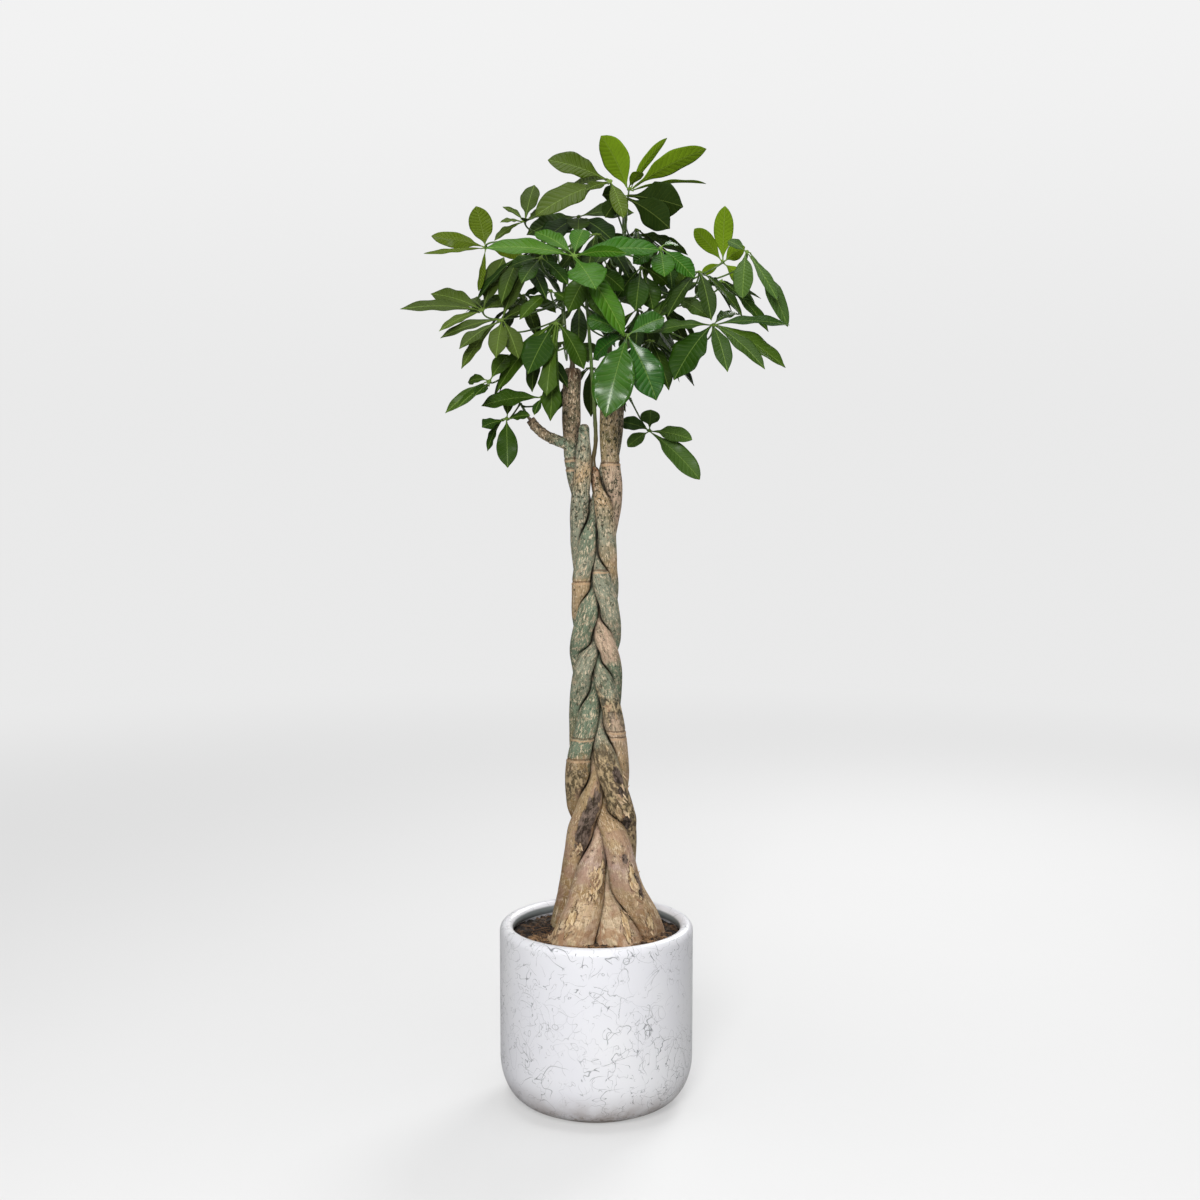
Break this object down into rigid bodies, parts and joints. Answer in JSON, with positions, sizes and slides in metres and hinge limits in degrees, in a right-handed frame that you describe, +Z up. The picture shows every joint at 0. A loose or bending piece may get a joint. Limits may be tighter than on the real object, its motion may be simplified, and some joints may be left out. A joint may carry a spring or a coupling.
{
  "type": "potted money tree",
  "caption": "Tall potted tree with a plaited trunk and a crown of hand-shaped green leaves, in a round white planter with a thick rounded rim.",
  "frame": {"origin": "middle of the flat underside of the pot, on the floor", "axes": "+Z up along the pot's axis, -Y towards the viewer of the picture, +X to that viewer's right"},
  "size_m": [0.643, 0.6345, 1.675],
  "materials": {
    "pot": "satin white with fine grey hairlines",
    "soil": "rough dark potting mix",
    "bark": "matt green and tan bark",
    "shoot": "satin green",
    "leaf": "semi-gloss green"
  },
  "bodies": {
    "root": {"pot": "pot", "soil": "soil", "trunk_1": "bark", "trunk_2": "bark", "trunk_3": "bark", "trunk_4": "bark", "trunk_5": "bark", "shoot_1": "shoot", "shoot_2": "shoot", "shoot_3": "shoot", "shoot_4": "shoot", "shoot_5": "shoot", "shoot_6": "shoot", "leaf_top_right": "leaf", "leaf_top_left": "leaf", "leaf_left_crest": "leaf", "leaf_far_left_high": "leaf", "leaf_front_high": "leaf", "leaf_far_left_low": "leaf", "leaf_left_low": "leaf", "leaf_left_drooping": "leaf", "leaf_centre_hanging": "leaf", "leaf_stub_low": "leaf", "leaf_stub_high": "leaf", "leaf_right_low": "leaf", "leaf_front_glossy": "leaf", "leaf_right_high": "leaf", "leaf_far_right": "leaf", "leaf_right_inner": "leaf", "leaf_right_arching": "leaf", "leaf_right_front": "leaf", "leaf_right_shoulder": "leaf", "leaf_under_top": "leaf", "leaf_dark_upper": "leaf", "leaf_inner_right": "leaf", "leaf_inner_left": "leaf", "leaf_left_inner": "leaf", "leaf_left_centre": "leaf", "leaf_back_1": "leaf", "leaf_back_2": "leaf", "leaf_back_3": "leaf", "leaf_back_4": "leaf", "leaf_back_5": "leaf", "leaf_back_6": "leaf", "leaf_back_7": "leaf", "leaf_inside_1": "leaf", "leaf_inside_2": "leaf", "leaf_inside_3": "leaf", "leaf_inside_4": "leaf", "leaf_inside_5": "leaf", "leaf_inside_6": "leaf", "leaf_inside_7": "leaf", "leaf_inside_8": "leaf", "leaf_inside_9": "leaf", "leaf_inside_10": "leaf", "leaf_inside_11": "leaf", "leaf_inside_12": "leaf", "leaf_inside_13": "leaf"}
  },
  "joints": []
}
